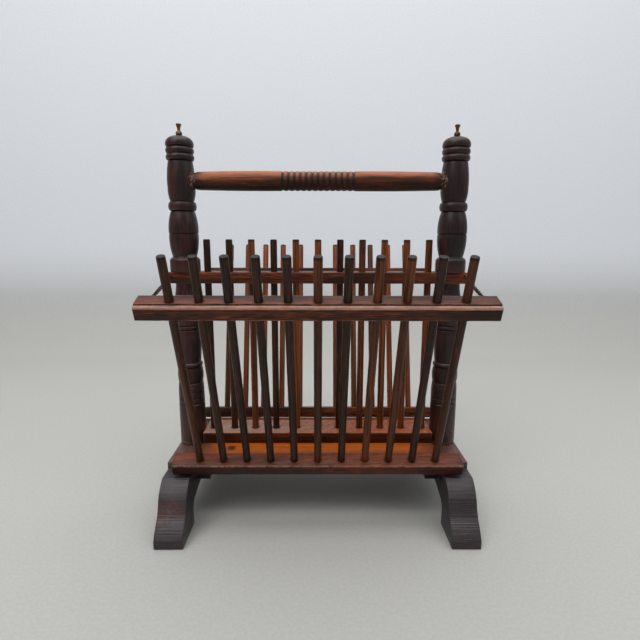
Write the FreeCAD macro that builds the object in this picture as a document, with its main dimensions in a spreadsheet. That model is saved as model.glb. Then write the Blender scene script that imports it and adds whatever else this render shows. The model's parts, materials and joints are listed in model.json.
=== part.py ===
import FreeCAD, Part
import math
import os
import Sketcher

V = FreeCAD.Vector

# Folding spindle magazine rack: two turned posts on a pair of scrolled feet carry a grooved
# carrying handle and a fixed middle row of dowels.  A dowel panel on either side is hinged to the
# base board and is held open by a pair of short chains from the centre rail.
#
# Frame: X along the handle, Y from front to back, +Z up, origin on the ground at the middle of
# the rack's footprint.  Pieces are drawn about the line of the posts, which stands a little behind
# that.  A panel is drawn upright in its own frame, with the hinge axis along X through the origin,
# Y away from the middle of the rack and Z up along its dowels.

SIZES = {
    # posts and middle row
    "post_line_y": 3.98,
    "post_half_span": 152.4,
    "dowel_pitch": 25.4,
    "dowel_radius": 4.0,
    "dowel_hole_radius": 4.05,
    "dowel_chamfer": 0.7,
    "centre_dowel_bottom": 76.0,
    "centre_dowel_top": 311.6,
    "post_tenon_hole_radius": 6.05,
    "foot_tenon_hole_radius": 8.05,
    "foot_tenon_hole_depth": 15.4,
    # base
    "base_mid_y": 6.6,
    "base_top": 71.0,
    "base_thickness": 12.7,
    "base_half_length": 137.2,
    "base_half_depth": 57.4,
    "cleat_side": 15.0,
    "cleat_half_length": 56.0,
    "foot_thickness": 30.4,
    "foot_top": 67.2,
    "centre_board_front": 16.3,
    "centre_board_back": 23.4,
    "centre_board_thickness": 13.5,
    "board_edge_round": 1.2,
    # centre rail
    "centre_rail_bottom": 262.0,
    "centre_rail_thickness": 13.0,
    "centre_rail_half_depth": 13.0,
    "centre_rail_half_length": 169.5,
    "centre_rail_corner": 3.5,
    "centre_rail_edge": 0.9,
    # handle
    "handle_height": 375.3,
    "handle_socket_radius": 8.05,
    "handle_socket_inset": 9.0,
    # panels
    "hinge_half_spread": 60.2,
    "hinge_height": 68.4,
    "front_lean": 21.7,
    "back_lean": 16.9,
    "panel_half_length": 156.5,
    "bar_gap": 2.2,
    "bar_lift": 0.8,
    "bar_depth": 19.3,
    "bar_thickness": 14.0,
    "bar_chamfer": 1.6,
    "bar_hole_depth": 10.0,
    "rail_top": 211.9,
    "rail_thickness": 14.5,
    "rail_bead": 3.6,
    "rail_groove": 0.9,
    "front_dowel_length": 248.9,
    "back_dowel_length": 243.4,
    # butt hinges
    "hinge_station": 95.0,
    "leaf_length": 30.0,
    "leaf_width": 15.0,
    "leaf_drop": 9.0,
    "moving_leaf_thickness": 0.8,
    "fixed_leaf_thickness": 0.7,
    "knuckle_radius": 1.7,
    "knuckle_length": 9.8,
    "knuckle_end_gap": 0.2,
    "knuckle_side_gap": 0.35,
    "hinge_pin_radius": 0.9,
    "hinge_bore_radius": 0.95,
    # screw eyes and chains
    "eye_ring_radius": 2.2,
    "eye_wire_radius": 0.5,
    "eye_shank_radius": 0.8,
    "eye_shank_length": 8.0,
    "eye_stand_off": 3.5,
    "centre_eye_station": 164.9,
    "centre_eye_height": 270.3,
    "panel_eye_station": 148.8,
    "panel_eye_height": 205.0,
    "link_wire_radius": 0.5,
    "link_half_width": 1.45,
    "link_inner_length": 4.1,
    "link_end_offset": 3.45,
    "link_count": 28,
}

# Turned and sawn outlines: (first coordinate, height, arc radius to this point or 0 for a
# straight cut).  A positive arc bulges away from the solid, a negative one is hollow.
OUTLINES = {
    # radius, height above the ground
    "lower_post": [
        (8.0, 52.2, 0), (8.0, 67.2, 0), (14.7, 67.2, 0), (15.2, 67.9, 0), (15.2, 116.6, 0),
        (14.3, 117.8, 0), (15.1, 119.0, 0), (15.0, 123.7, 0), (14.2, 124.4, 0), (15.0, 125.1, 0),
        (14.9, 132.0, 0), (14.1, 132.7, 0), (14.9, 133.4, 0), (14.7, 138.5, 0), (13.9, 139.2, 0),
        (14.6, 139.9, 0), (14.3, 142.6, 0), (13.4, 143.4, 0), (13.9, 144.2, 0),
        (13.8, 161.4, 36.0), (12.9, 162.1, 0), (13.4, 162.6, 0), (13.4, 167.4, 3.2),
        (12.4, 168.3, 0), (12.8, 169.2, 0), (13.3, 206.6, 220.0), (12.2, 207.6, 0),
        (13.2, 208.6, 0), (13.2, 211.6, 3.0), (12.3, 212.5, 0), (13.4, 213.4, 0),
        (13.8, 246.0, 160.0), (11.7, 260.6, -60.0), (11.7, 262.0, 0), (6.0, 262.0, 0),
        (6.0, 289.4, 0),
    ],
    "upper_post": [
        (6.05, 290.0, 0), (6.05, 275.0, 0), (16.4, 275.0, 0), (16.9, 276.0, 0),
        (16.9, 286.6, 0), (13.8, 291.2, 4.6), (13.3, 292.2, 0), (16.2, 316.7, 75.0),
        (15.4, 317.5, 0), (16.3, 318.3, 0), (13.3, 341.6, 62.0), (12.6, 342.5, 0),
        (14.4, 343.2, 0), (14.4, 351.8, 9.5), (12.8, 352.7, 0), (15.1, 368.0, 40.0),
        (13.3, 395.4, 120.0), (12.5, 396.4, 0), (14.3, 397.1, 0), (14.3, 402.7, 4.5),
        (13.7, 403.4, 0), (14.3, 404.1, 0), (14.3, 409.8, 4.6), (13.6, 410.6, 0),
        (14.8, 411.4, 0), (15.2, 414.4, 5.0), (11.4, 420.4, 7.4), (3.4, 423.0, 24.0),
        (1.6, 423.0, 0), (1.6, 416.4, 0),
    ],
    "finial": [
        (1.5, 416.6, 0), (1.5, 423.0, 0), (2.6, 423.0, 0), (1.6, 428.0, 3.1),
        (1.5, 429.0, 0), (2.9, 434.0, -14.0), (2.9, 434.8, 0), (2.5, 435.3, 0),
    ],
    # radius, distance along the handle from its middle
    "handle_end": [
        (8.0, 143.4, 0), (8.0, 137.4, 0), (9.3, 135.6, 0), (10.0, 130.0, 22.0),
        (10.7, 41.2, 2500.0), (9.7, 39.0, 0),
    ],
    # distance from the middle of the base, height
    "foot_half": [
        (66.6, 27.0, 0), (74.6, 18.0, -10.0), (74.6, 0.0, 0), (118.6, 0.0, 0), (119.4, 0.8, 0),
        (119.4, 9.0, 0), (106.2, 25.4, 60.0), (99.1, 41.7, -48.0), (82.1, 59.4, 42.0),
        (63.2, 59.4, 0), (63.2, 67.2, 0),
    ],
}
FOOT_ARCH_RADIUS = 240.0
HANDLE_BEADS = 12
HANDLE_BEAD_RADIUS = 6.0
DOWEL_STATIONS = range(-5, 6)


# ---------------------------------------------------------------- document and sheet

doc = FreeCAD.newDocument("magazine_rack")
sheet = doc.addObject("Spreadsheet::Sheet", "Sizes")
parts = {}


def outline_names(table, index):
    return "%s_across_%02d" % (table, index), "%s_along_%02d" % (table, index)


def fill_sheet():
    rows = list(SIZES.items())
    rows += [("foot_arch_radius", FOOT_ARCH_RADIUS), ("handle_bead_radius", HANDLE_BEAD_RADIUS)]
    for table, points in OUTLINES.items():
        for index, (across, along, arc) in enumerate(points, 1):
            across_name, along_name = outline_names(table, index)
            rows += [(across_name, across), (along_name, along)]
            if arc:
                rows.append(("%s_arc_%02d" % (table, index), abs(arc)))
    for row, (name, value) in enumerate(rows, 1):
        sheet.set("A%d" % row, name)
        sheet.set("B%d" % row, str(value))
        sheet.setAlias("B%d" % row, name)
    doc.recompute()


def size(name):
    """Number in the sheet under this alias; a leading minus sign negates it."""
    if name.startswith("-"):
        return -size(name[1:])
    return float(sheet.get(name))


def total(names):
    return sum(size(name) for name in names)


def formula(names):
    """Expression adding the named cells, each with its sign."""
    text = ""
    for name in names:
        sign = "-" if name.startswith("-") else "+"
        text += " %s Sizes.%s" % (sign, name.lstrip("-"))
    return text.strip().lstrip("+").strip()


# ---------------------------------------------------------------- sketches

def new_body(label):
    body = doc.addObject("PartDesign::Body", label)
    body.Label = label
    parts[label] = body
    return body


def origin_plane(body, role):
    return next(item for item in body.Origin.OriginFeatures if item.Role == role)


def new_sketch(body, role, offset=()):
    """Sketch on an origin plane of the body, lifted along its normal by the named cells."""
    sketch = body.newObject("Sketcher::SketchObject", body.Name + "_sketch")
    sketch.AttachmentSupport = [(origin_plane(body, role), "")]
    sketch.MapMode = "FlatFace"
    if offset:
        sketch.AttachmentOffset = FreeCAD.Placement(V(0, 0, total(offset)), FreeCAD.Rotation())
        sketch.setExpression("AttachmentOffset.Base.z", formula(offset))
    return sketch


def pin_point(sketch, geo, end, x_names, y_names, tag):
    """Hold one end of a curve at the coordinates the named cells add up to."""
    for kind, names in (("DistanceX", x_names), ("DistanceY", y_names)):
        if not names:
            axis = -2 if kind == "DistanceX" else -1
            sketch.addConstraint(Sketcher.Constraint("PointOnObject", geo, end, axis))
            continue
        index = sketch.addConstraint(
            Sketcher.Constraint(kind, -1, 1, geo, end, total(names)))
        constraint = "%s_%s" % (tag, kind[-1].lower())
        sketch.renameConstraint(index, constraint)
        sketch.setExpression("Constraints." + constraint, formula(names))


def arc_between(start, end, radius):
    """Arc from start to end; a positive radius bulges to the right of the way from start."""
    chord = end - start
    middle = (start + end) * 0.5
    across = V(chord.y, -chord.x, 0).normalize()
    rise = math.sqrt(radius * radius - chord.Length ** 2 / 4)
    side = 1 if radius > 0 else -1
    centre = middle - across * side * rise
    top = centre + across * side * abs(radius)
    return Part.Arc(start, top, end) if radius > 0 else Part.Arc(end, top, start)


def draw_outline(sketch, points):
    """Closed outline, anticlockwise: each point is (x cells, y cells, arc cell, sign)."""
    corners = [V(total(x), total(y), 0) for x, y, arc, sign in points]
    ends = []
    for index, (x, y, arc, sign) in enumerate(points):
        start, end = corners[index - 1], corners[index]
        if arc:
            geo = sketch.addGeometry(arc_between(start, end, sign * size(arc)), False)
            first = sketch.Geometry[geo].StartPoint.distanceToPoint(start) < 1e-4
            ends.append((geo, 1 if first else 2, 2 if first else 1))
            radius = sketch.addConstraint(Sketcher.Constraint("Radius", geo, size(arc)))
            sketch.renameConstraint(radius, "arc_%02d" % index)
            sketch.setExpression("Constraints.arc_%02d" % index, formula([arc]))
        else:
            geo = sketch.addGeometry(Part.LineSegment(start, end), False)
            ends.append((geo, 1, 2))
    for index, (geo, begin, finish) in enumerate(ends):
        after, after_begin, after_finish = ends[(index + 1) % len(ends)]
        sketch.addConstraint(
            Sketcher.Constraint("Coincident", geo, finish, after, after_begin))
        x, y, arc, sign = points[index]
        pin_point(sketch, geo, finish, x, y, "corner_%02d" % index)


def draw_circles(sketch, centres, radius):
    """Circles of one named radius; each centre is (x cells, y cells) with a count of pitches."""
    for number, (pitches, y_names) in enumerate(centres, 1):
        centre = V(pitches * size("dowel_pitch"), total(y_names), 0)
        geo = sketch.addGeometry(Part.Circle(centre, V(0, 0, 1), size(radius)), False)
        bore = sketch.addConstraint(Sketcher.Constraint("Radius", geo, size(radius)))
        sketch.renameConstraint(bore, "bore_%02d" % number)
        sketch.setExpression("Constraints.bore_%02d" % number, formula([radius]))
        pin_point(sketch, geo, 3, ("dowel_pitch",) if pitches else (), y_names,
                  "centre_%02d" % number)
        if pitches:
            sketch.setExpression("Constraints.centre_%02d_x" % number,
                                 "%d * Sizes.dowel_pitch" % pitches)


def pad(body, sketch, length, both_ways=False):
    feature = body.newObject("PartDesign::Pad", body.Name + "_pad")
    feature.Profile = sketch
    feature.Midplane = both_ways
    feature.Length = total(length)
    feature.setExpression("Length", formula(length))
    sketch.Visibility = False
    return feature


def pocket(body, sketch, depth):
    """Cut the sketch into the body, against the sketch's normal, and check that it cuts."""
    doc.recompute()
    before = body.Shape.Volume
    feature = body.newObject("PartDesign::Pocket", body.Name + "_pocket")
    feature.Profile = sketch
    feature.Length = total(depth)
    feature.setExpression("Length", formula(depth))
    sketch.Visibility = False
    doc.recompute()
    if not body.Shape.Volume < before - 1.0:
        raise RuntimeError("%s: pocket cut nothing" % body.Label)
    return feature


def soften(body, base, radius, chosen):
    """Round the edges of the base feature for which chosen(edge) holds."""
    doc.recompute()
    names = ["Edge%d" % number for number, edge in enumerate(base.Shape.Edges, 1)
             if chosen(edge)]
    feature = body.newObject("PartDesign::Fillet", body.Name + "_round")
    feature.Base = (base, names)
    feature.Radius = size(radius)
    feature.setExpression("Radius", formula([radius]))
    return feature


def runs_along(edge, axis):
    """Straight edge lying along the axis vector."""
    if not isinstance(edge.Curve, Part.Line):
        return False
    return abs(edge.tangentAt(edge.FirstParameter).dot(axis)) > 0.999


# ---------------------------------------------------------------- placements

def stand(obj, x=0.0, y=0.0, z=0.0, turn=0.0):
    """Turn about the vertical, then move to x, y, z from the foot of the post line."""
    place = V(x, y + size("post_line_y"), z)
    obj.Placement = FreeCAD.Placement(place, FreeCAD.Rotation(V(0, 0, 1), turn))


def panel_placement(side):
    """Panel frame leaned outwards about its hinge axis; side is front or back."""
    lean = FreeCAD.Rotation(V(1, 0, 0), -size(side + "_lean"))
    turn = FreeCAD.Rotation(V(0, 0, 1), 180 if side == "front" else 0)
    outward = -1 if side == "front" else 1
    hinge = V(0, total(("post_line_y", "base_mid_y")) + outward * size("hinge_half_spread"),
              size("hinge_height"))
    return FreeCAD.Placement(hinge, turn.multiply(lean))


# ---------------------------------------------------------------- turned pieces

def turned_body(label, table):
    """Revolve an outline table about the vertical, closed along the axis."""
    body = new_body(label)
    sketch = new_sketch(body, "XZ_Plane")
    rows = OUTLINES[table]
    first = outline_names(table, 1)
    last = outline_names(table, len(rows))
    points = [((), (last[1],), None, 0), ((), (first[1],), None, 0)]
    for index, (across, along, arc) in enumerate(rows, 1):
        across_name, along_name = outline_names(table, index)
        arc_name = "%s_arc_%02d" % (table, index) if arc else None
        points.append(((across_name,), (along_name,), arc_name, 1 if arc > 0 else -1))
    draw_outline(sketch, points)
    spin(body, sketch)
    return body


def spin(body, sketch):
    feature = body.newObject("PartDesign::Revolution", body.Name + "_turning")
    feature.Profile = sketch
    feature.ReferenceAxis = (sketch, ["V_Axis"])
    feature.Angle = 360
    sketch.Visibility = False
    return feature


def lower_posts():
    for side, way in (("left", -1), ("right", 1)):
        body = turned_body(side + "_lower_post", "lower_post")
        stand(body, x=way * size("post_half_span"))


def upper_posts():
    """The handle's blind socket is bored in the side that faces the other post."""
    for side, way in (("left", -1), ("right", 1)):
        body = turned_body(side + "_upper_post", "upper_post")
        sketch = new_sketch(body, "YZ_Plane", ("-handle_socket_inset",))
        draw_circles(sketch, [(0, ("handle_height",))], "handle_socket_radius")
        pocket(body, sketch, ("handle_socket_inset",))
        stand(body, x=way * size("post_half_span"), turn=180 if way < 0 else 0)


def finials():
    for side, way in (("left", -1), ("right", 1)):
        body = turned_body(side + "_finial", "finial")
        stand(body, x=way * size("post_half_span"))


def handle():
    """Turned grip: two plain tapering ends and a row of beads between them."""
    body = new_body("handle")
    sketch = new_sketch(body, "XZ_Plane")
    table = "handle_end"
    count = len(OUTLINES[table])
    end_name = outline_names(table, 1)[1]
    bead_edge, bead_start = outline_names(table, count)
    points = [((), (end_name,), None, 0), ((), ("-" + end_name,), None, 0)]
    for index in range(1, count + 1):
        across_name, along_name = outline_names(table, index)
        arc_name = "%s_arc_%02d" % (table, index) if OUTLINES[table][index - 1][2] else None
        points.append(((across_name,), ("-" + along_name,), arc_name, 1))
    draw_beaded_side(sketch, points, table, count, bead_edge, bead_start)
    spin(body, sketch)
    body.Placement = FreeCAD.Placement(V(0, size("post_line_y"), size("handle_height")),
                                       FreeCAD.Rotation(V(0, 1, 0), 90))


def draw_beaded_side(sketch, points, table, count, bead_edge, bead_start):
    """Add the beads and the mirrored far end to the handle's outline and draw it."""
    pitch = 2 * size(bead_start) / HANDLE_BEADS
    for number in range(1, HANDLE_BEADS):
        along = "bead_along_%02d" % number
        add_cell(along, -size(bead_start) + number * pitch)
        points.append(((bead_edge,), (along,), "handle_bead_radius", 1))
    points.append(((bead_edge,), (bead_start,), "handle_bead_radius", 1))
    for index in range(count - 1, 0, -1):
        across_name, along_name = outline_names(table, index)
        arc = OUTLINES[table][index][2]
        arc_name = "%s_arc_%02d" % (table, index + 1) if arc else None
        points.append(((across_name,), (along_name,), arc_name, 1))
    draw_outline(sketch, points)


def add_cell(name, value):
    row = 1
    while sheet.getContents("A%d" % row):
        row += 1
    sheet.set("A%d" % row, name)
    sheet.set("B%d" % row, str(value))
    sheet.setAlias("B%d" % row, name)
    doc.recompute()


def dowel(label, length):
    """Straight dowel standing on the origin, chamfered at both ends."""
    body = new_body(label)
    sketch = new_sketch(body, "XZ_Plane")
    radius, chamfer = "dowel_radius", "dowel_chamfer"
    draw_outline(sketch, [
        ((), length, None, 0), ((), (), None, 0),
        ((radius, "-" + chamfer), (), None, 0), ((radius,), (chamfer,), None, 0),
        ((radius,), length + ("-" + chamfer,), None, 0),
        ((radius, "-" + chamfer), length, None, 0)])
    spin(body, sketch)
    return body


def centre_dowels():
    for number, station in enumerate(DOWEL_STATIONS, 1):
        body = dowel("centre_dowel_%02d" % number,
                     ("centre_dowel_top", "-centre_dowel_bottom"))
        stand(body, x=station * size("dowel_pitch"), z=size("centre_dowel_bottom"))


# ---------------------------------------------------------------- base

def foot(label, way):
    """Scrolled foot sawn from one board, with a rebate at each end of its top for the panel."""
    body = new_body(label)
    sketch = new_sketch(body, "YZ_Plane")
    table = "foot_half"
    rows = OUTLINES[table]
    points = []
    for index in range(len(rows), 0, -1):
        across_name, along_name = outline_names(table, index)
        arc = rows[index][2] if index < len(rows) else 0
        arc_name = "%s_arc_%02d" % (table, index + 1) if arc else None
        points.append((("base_mid_y", "-" + across_name), named_height(along_name),
                       arc_name, 1 if arc > 0 else -1))
    for index, (across, along, arc) in enumerate(rows, 1):
        across_name, along_name = outline_names(table, index)
        arc_name = "%s_arc_%02d" % (table, index) if arc else None
        sign = 1 if arc > 0 else -1
        if index == 1:
            arc_name, sign = "foot_arch_radius", -1
        points.append((("base_mid_y", across_name), named_height(along_name), arc_name, sign))
    draw_outline(sketch, points)
    pad(body, sketch, ("foot_thickness",), both_ways=True)
    top = new_sketch(body, "XY_Plane", ("foot_top",))
    draw_circles(top, [(0, ())], "foot_tenon_hole_radius")
    pocket(body, top, ("foot_tenon_hole_depth",))
    stand(body, x=way * size("post_half_span"))


def named_height(name):
    """Cells for a height, or none at all where it is on the ground."""
    return (name,) if size(name) else ()


def slab(label, half_length, low_y, high_y, thickness, edge):
    """Board lying flat with its underside at the origin and its long edges rounded."""
    body = new_body(label)
    sketch = new_sketch(body, "XY_Plane")
    near, far = tuple("-" + name for name in half_length), half_length
    draw_outline(sketch, [(near, low_y, None, 0), (far, low_y, None, 0),
                          (far, high_y, None, 0), (near, high_y, None, 0)])
    block = pad(body, sketch, thickness)
    soften(body, block, edge, lambda line: runs_along(line, V(1, 0, 0)))
    return body


def base_board():
    body = slab("base_board", ("base_half_length",), ("base_mid_y", "-base_half_depth"),
                ("base_mid_y", "base_half_depth"), ("base_thickness",), "board_edge_round")
    stand(body, z=total(("base_top", "-base_thickness")))


def centre_board():
    """Board on the base board between the posts, bored for the middle row of dowels."""
    body = slab("centre_board", ("base_half_length",), ("-centre_board_front",),
                ("centre_board_back",), ("centre_board_thickness",), "board_edge_round")
    top = new_sketch(body, "XY_Plane", ("centre_board_thickness",))
    draw_circles(top, [(station, ()) for station in DOWEL_STATIONS], "dowel_hole_radius")
    pocket(body, top, ("base_top", "centre_board_thickness", "-centre_dowel_bottom"))
    stand(body, z=size("base_top"))


def base_cleats():
    """A square cleat inside each foot, under the ends of the base board."""
    blocks = []
    for side, way in (("left", -1), ("right", 1)):
        block = doc.addObject("Part::Box", side + "_cleat")
        block.setExpression("Length", formula(["cleat_side"]))
        block.setExpression("Width", "2 * Sizes.cleat_half_length")
        block.setExpression("Height", formula(["cleat_side"]))
        inner = -size("base_half_length") if way < 0 else total(
            ("base_half_length", "-cleat_side"))
        stand(block, x=inner, y=total(("base_mid_y", "-cleat_half_length")),
              z=total(("base_top", "-base_thickness", "-cleat_side")))
        blocks.append(block)
    group = doc.addObject("Part::Compound", "base_cleats")
    group.Label = "base_cleats"
    group.Links = blocks
    parts[group.Label] = group


def centre_rail():
    """Rail between the upper and lower posts, bored for the posts' tenons and the dowels."""
    body = new_body("centre_rail")
    sketch = new_sketch(body, "XY_Plane")
    end, side, cut = "centre_rail_half_length", "centre_rail_half_depth", "centre_rail_corner"
    corners = []
    for x_sign, y_sign, along_first in ((-1, -1, False), (1, -1, True),
                                        (1, 1, False), (-1, 1, True)):
        near_end = signed(x_sign, (end,)), signed(y_sign, (side, "-" + cut))
        near_side = signed(x_sign, (end, "-" + cut)), signed(y_sign, (side,))
        pair = (near_side, near_end) if along_first else (near_end, near_side)
        corners += [(x, y, None, 0) for x, y in pair]
    draw_outline(sketch, corners)
    plank = pad(body, sketch, ("centre_rail_thickness",))
    soften(body, plank, "centre_rail_edge", lambda line: runs_along(line, V(1, 0, 0)))
    bore_rail(body)
    stand(body, z=size("centre_rail_bottom"))


def signed(sign, names):
    """The same cells with their signs turned over when sign is negative."""
    if sign > 0:
        return tuple(names)
    return tuple(name[1:] if name.startswith("-") else "-" + name for name in names)


def bore_rail(body):
    top = new_sketch(body, "XY_Plane", ("centre_rail_thickness",))
    draw_circles(top, [(station, ()) for station in DOWEL_STATIONS], "dowel_hole_radius")
    pocket(body, top, ("centre_rail_thickness",))
    sockets = new_sketch(body, "XY_Plane", ("centre_rail_thickness",))
    draw_circles(sockets, [(-6, ()), (6, ())], "post_tenon_hole_radius")
    pocket(body, sockets, ("centre_rail_thickness",))


# ---------------------------------------------------------------- panels

def panel_dowel_line():
    """Cells whose sum is the distance of a panel's dowels from its hinge axis."""
    add_cell("bar_half_depth", size("bar_depth") / 2)
    return ("bar_gap", "bar_half_depth")


def bottom_bar(side, line):
    """Bar along the foot of a panel, with blind holes for its dowels."""
    body = new_body(side + "_bottom_bar")
    sketch = new_sketch(body, "YZ_Plane")
    inner, outer = ("bar_gap",), ("bar_gap", "bar_depth")
    low, high = ("bar_lift",), ("bar_lift", "bar_thickness")
    chamfer = ("bar_chamfer",)
    less = ("-bar_chamfer",)
    draw_outline(sketch, [
        (inner, low, None, 0), (outer, low, None, 0),
        (outer, high + less, None, 0), (outer + less, high, None, 0),
        (inner + chamfer, high, None, 0), (inner, high + less, None, 0)])
    length = ("panel_half_length", "panel_half_length")
    pad(body, sketch, length, both_ways=True)
    top = new_sketch(body, "XY_Plane", high)
    draw_circles(top, [(station, line) for station in DOWEL_STATIONS], "dowel_hole_radius")
    pocket(body, top, ("bar_hole_depth",))
    body.Placement = panel_placement(side)


def top_rail(side, line):
    """Rail the dowels pass through; a shallow groove sets off the bead on its outer edge."""
    body = new_body(side + "_top_rail")
    sketch = new_sketch(body, "YZ_Plane")
    inner, outer = ("bar_gap",), ("bar_gap", "bar_depth")
    low, high = ("rail_top", "-rail_thickness"), ("rail_top",)
    bead, groove = ("-rail_bead",), ("-rail_groove",)
    draw_outline(sketch, [
        (inner, low, None, 0), (outer + ("-bar_chamfer",), low, None, 0),
        (outer, low + ("bar_chamfer",), None, 0), (outer, high + bead, None, 0),
        (outer + bead, high + groove, None, 0), (outer + bead + groove, high, None, 0),
        (inner + ("bar_chamfer",), high, None, 0), (inner, high + ("-bar_chamfer",), None, 0)])
    pad(body, sketch, ("panel_half_length", "panel_half_length"), both_ways=True)
    top = new_sketch(body, "XY_Plane", high)
    draw_circles(top, [(station, line) for station in DOWEL_STATIONS], "dowel_hole_radius")
    pocket(body, top, ("rail_thickness",))
    body.Placement = panel_placement(side)


def panel_dowels(side, line):
    seat = ("bar_lift", "bar_thickness", "-bar_hole_depth")
    frame = panel_placement(side)
    for number, station in enumerate(DOWEL_STATIONS, 1):
        body = dowel("%s_dowel_%02d" % (side, number), (side + "_dowel_length",))
        way = -1 if side == "front" else 1
        local = V(way * station * size("dowel_pitch"), total(line), total(seat))
        body.Placement = frame.multiply(FreeCAD.Placement(local, FreeCAD.Rotation()))


# ---------------------------------------------------------------- hinges

def group_node(label, shapes, placement=FreeCAD.Placement()):
    """Node of identical separate solids, placed together."""
    feature = doc.addObject("Part::Feature", label)
    feature.Label = label
    feature.Shape = Part.makeCompound(shapes)
    feature.Placement = placement
    parts[label] = feature


def rod(radius, start, end):
    return Part.makeCylinder(size(radius), (end - start).Length, start, end - start)


def block(low, high):
    extent = high - low
    return Part.makeBox(extent.x, extent.y, extent.z, low)


def fixed_leaf():
    """Leaf screwed to the base board's edge, its two knuckles and the pin fixed in them.

    Hinge axis along X through the origin, the leaf hanging below it on the -Y side.
    """
    half = size("leaf_length") / 2
    inner = half - size("knuckle_length")
    back = -total(("hinge_half_spread", "-base_half_depth"))
    face = back + size("fixed_leaf_thickness")
    radius = size("knuckle_radius")
    leaf = block(V(-half, back, -size("leaf_drop")), V(half, face, -radius))
    solid = leaf.fuse(rod("hinge_pin_radius", V(-half, 0, 0), V(half, 0, 0)))
    for low, high in ((-half, -inner), (inner, half)):
        solid = solid.fuse(rod("knuckle_radius", V(low, 0, 0), V(high, 0, 0)))
        solid = solid.fuse(block(V(low, back, -radius), V(high, 0, -radius / 2)))
    return solid.removeSplitter()


def moving_leaf():
    """Leaf under the panel's bottom bar with the middle knuckle, bored for the pin."""
    half = size("leaf_length") / 2
    inner = half - total(("knuckle_length", "knuckle_end_gap"))
    clear = total(("knuckle_radius", "knuckle_side_gap"))
    thick = size("moving_leaf_thickness")
    leaf = block(V(-half, clear, 0), V(half, size("leaf_width"), thick))
    tongue = block(V(-inner, 0, 0), V(inner, clear, thick))
    solid = leaf.fuse(tongue).fuse(rod("knuckle_radius", V(-inner, 0, 0), V(inner, 0, 0)))
    return solid.cut(rod("hinge_bore_radius", V(-half, 0, 0), V(half, 0, 0))).removeSplitter()


def hinges():
    """Two butt hinges to a panel."""
    fixed = []
    for side in ("front", "back"):
        frame = panel_placement(side)
        upright = FreeCAD.Placement(frame.Base, FreeCAD.Rotation(
            V(0, 0, 1), 180 if side == "front" else 0))
        moving = []
        for way in (-1, 1):
            shift = V(way * size("hinge_station"), 0, 0)
            leaf = fixed_leaf()
            leaf.Placement = upright.multiply(FreeCAD.Placement(shift, FreeCAD.Rotation()))
            fixed.append(leaf)
            leaf = moving_leaf()
            leaf.translate(shift)
            moving.append(leaf)
        group_node(side + "_hinge_leaves", moving, frame)
    group_node("fixed_hinge_leaves", fixed)


# ---------------------------------------------------------------- screw eyes and chains

def screw_eye():
    """Eye ring in the YZ plane round the origin, its shank running to -Y."""
    ring = Part.makeTorus(size("eye_ring_radius"), size("eye_wire_radius"), V(0, 0, 0),
                          V(1, 0, 0))
    neck = V(0, -size("eye_ring_radius"), 0)
    tip = V(0, -total(("eye_stand_off", "eye_shank_length")), 0)
    return ring.fuse(rod("eye_shank_radius", neck, tip)).removeSplitter()


def centre_eye(side, way):
    """Position of the ring on the centre rail."""
    outward = -1 if side == "front" else 1
    reach = total(("centre_rail_half_depth", "eye_stand_off"))
    return V(way * size("centre_eye_station"), size("post_line_y") + outward * reach,
             size("centre_eye_height"))


def panel_eye(side, way):
    """Position of the ring on the inner face of the panel's top rail."""
    local = V(way * size("panel_eye_station"), total(("bar_gap", "-eye_stand_off")),
              size("panel_eye_height"))
    turned = V(-local.x, local.y, local.z) if side == "front" else local
    return panel_placement(side).multVec(turned)


def screw_eyes():
    centre = []
    for side in ("front", "back"):
        away = FreeCAD.Rotation(V(0, 0, 1), 180 if side == "front" else 0)
        inward = panel_placement(side).Rotation.multiply(FreeCAD.Rotation(V(0, 0, 1), 180))
        panel = []
        for way in (-1, 1):
            eye = screw_eye()
            eye.Placement = FreeCAD.Placement(centre_eye(side, way), away)
            centre.append(eye)
            eye = screw_eye()
            eye.Placement = FreeCAD.Placement(panel_eye(side, way), inward)
            panel.append(eye)
        group_node(side + "_rail_eyes", panel)
    group_node("centre_rail_eyes", centre)


def chain_link():
    """Oval link of round wire in the XZ plane, long along Z and centred on the origin."""
    width = size("link_half_width")
    inner = size("link_inner_length") / 2
    straight = inner + size("link_wire_radius") - width
    corners = [V(width, 0, -straight), V(width, 0, straight),
               V(-width, 0, straight), V(-width, 0, -straight)]
    crown = V(0, 0, straight + width)
    path = Part.Wire([
        Part.makeLine(corners[0], corners[1]),
        Part.Arc(corners[1], crown, corners[2]).toShape(),
        Part.makeLine(corners[2], corners[3]),
        Part.Arc(corners[3], -crown, corners[0]).toShape()])
    section = Part.Wire(Part.makeCircle(size("link_wire_radius"), corners[0], V(0, 0, 1)))
    return path.makePipeShell([section], True, False)


def chain_links(side, way):
    """All links of one chain in order from the centre rail.

    Each is turned just under a quarter from the one before, so that both end links stand
    square to their eyes.
    """
    start, end = centre_eye(side, way), panel_eye(side, way)
    line = (end - start).normalize()
    across = (V(1, 0, 0) - line * line.x).normalize()
    upright = FreeCAD.Rotation(across, line.cross(across), line, "XZY")
    count = int(size("link_count"))
    offset = size("link_end_offset")
    pitch = ((end - start).Length - 2 * offset) / (count - 1)
    twist = 90.0 * (count - 2) / (count - 1)
    links = []
    for number in range(count):
        link = chain_link()
        turn = FreeCAD.Rotation(V(0, 0, 1), twist * number)
        link.Placement = FreeCAD.Placement(start + line * (offset + number * pitch),
                                           upright.multiply(turn))
        links.append(link)
    return links


def chains():
    """Each pair of chains in two halves: one hangs from the centre rail, one from the panel."""
    split = int(size("link_count")) // 2
    for side in ("front", "back"):
        upper, lower = [], []
        for way in (-1, 1):
            links = chain_links(side, way)
            upper += links[:split]
            lower += links[split:]
        group_node(side + "_upper_chains", upper)
        group_node(side + "_lower_chains", lower)


# ---------------------------------------------------------------- assembly

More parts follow.
